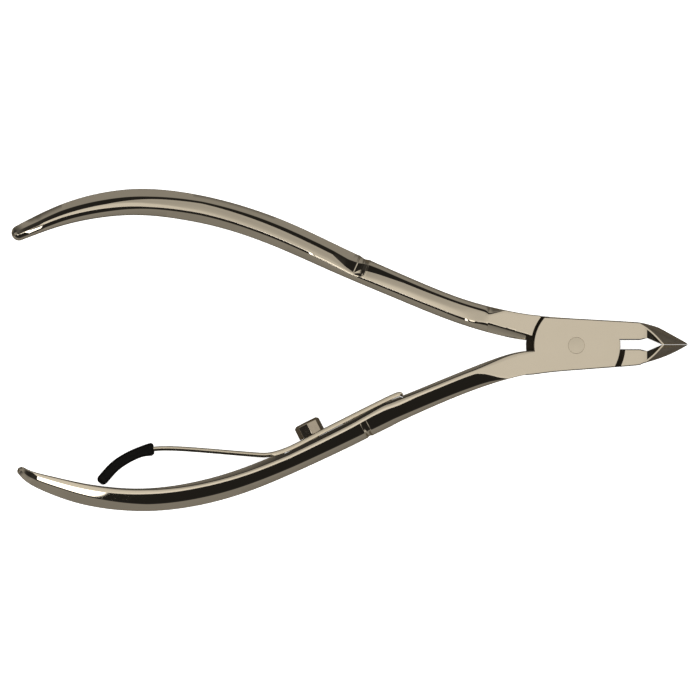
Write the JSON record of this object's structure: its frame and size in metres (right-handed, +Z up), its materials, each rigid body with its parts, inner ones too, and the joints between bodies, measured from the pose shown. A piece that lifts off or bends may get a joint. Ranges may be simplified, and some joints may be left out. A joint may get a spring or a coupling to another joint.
{
  "type": "cuticle nipper",
  "caption": "Slim polished nail-care nipper: two crossed forged halves in a riveted lap joint, pointed ground jaws, and a swinging leaf spring held by an octagonal thumb screw.",
  "frame": {"origin": "where the pivot axis meets the flat underside of the joint", "axes": "+X from the pivot to the jaw tips along the line the jaws close on, +Y towards the handle without the spring, +Z up out of the flat face of the joint"},
  "size_m": [0.1203, 0.0572, 0.0054],
  "materials": {
    "polished_nickel": "mirror-polished nickel on forged steel, satin-ground jaw bevels",
    "rivet_nickel": "mirror-polished nickel, ground flush",
    "spring_steel": "bright nickel-plated spring steel",
    "screw_nickel": "bright nickel-plated brass",
    "black_rubber": "matte dipped rubber"
  },
  "bodies": {
    "lower_half": {"lower_half": "polished_nickel", "pivot_rivet": "rivet_nickel"},
    "upper_half": {"upper_half": "polished_nickel"},
    "spring": {"leaf_spring": "spring_steel", "spring_sleeve": "black_rubber"},
    "screw": {"spring_screw": "screw_nickel"}
  },
  "joints": [
    {"name": "jaw_pivot", "type": "hinge", "parent": "lower_half", "child": "upper_half", "pos_m": [0, 0, 0.0027], "axis": [0, 0, -1], "range_deg": [0, 30]},
    {"name": "spring_swing", "type": "hinge", "parent": "lower_half", "child": "spring", "pos_m": [-0.04642, -0.0166, 0.0027], "axis": [-0.4524, 0.8918, 0], "range_deg": [-140, 140]},
    {"name": "screw_turn", "type": "hinge", "parent": "lower_half", "child": "screw", "pos_m": [-0.04642, -0.0166, 0.0027], "axis": [-0.4524, 0.8918, 0], "range_deg": [0, 360]}
  ]
}
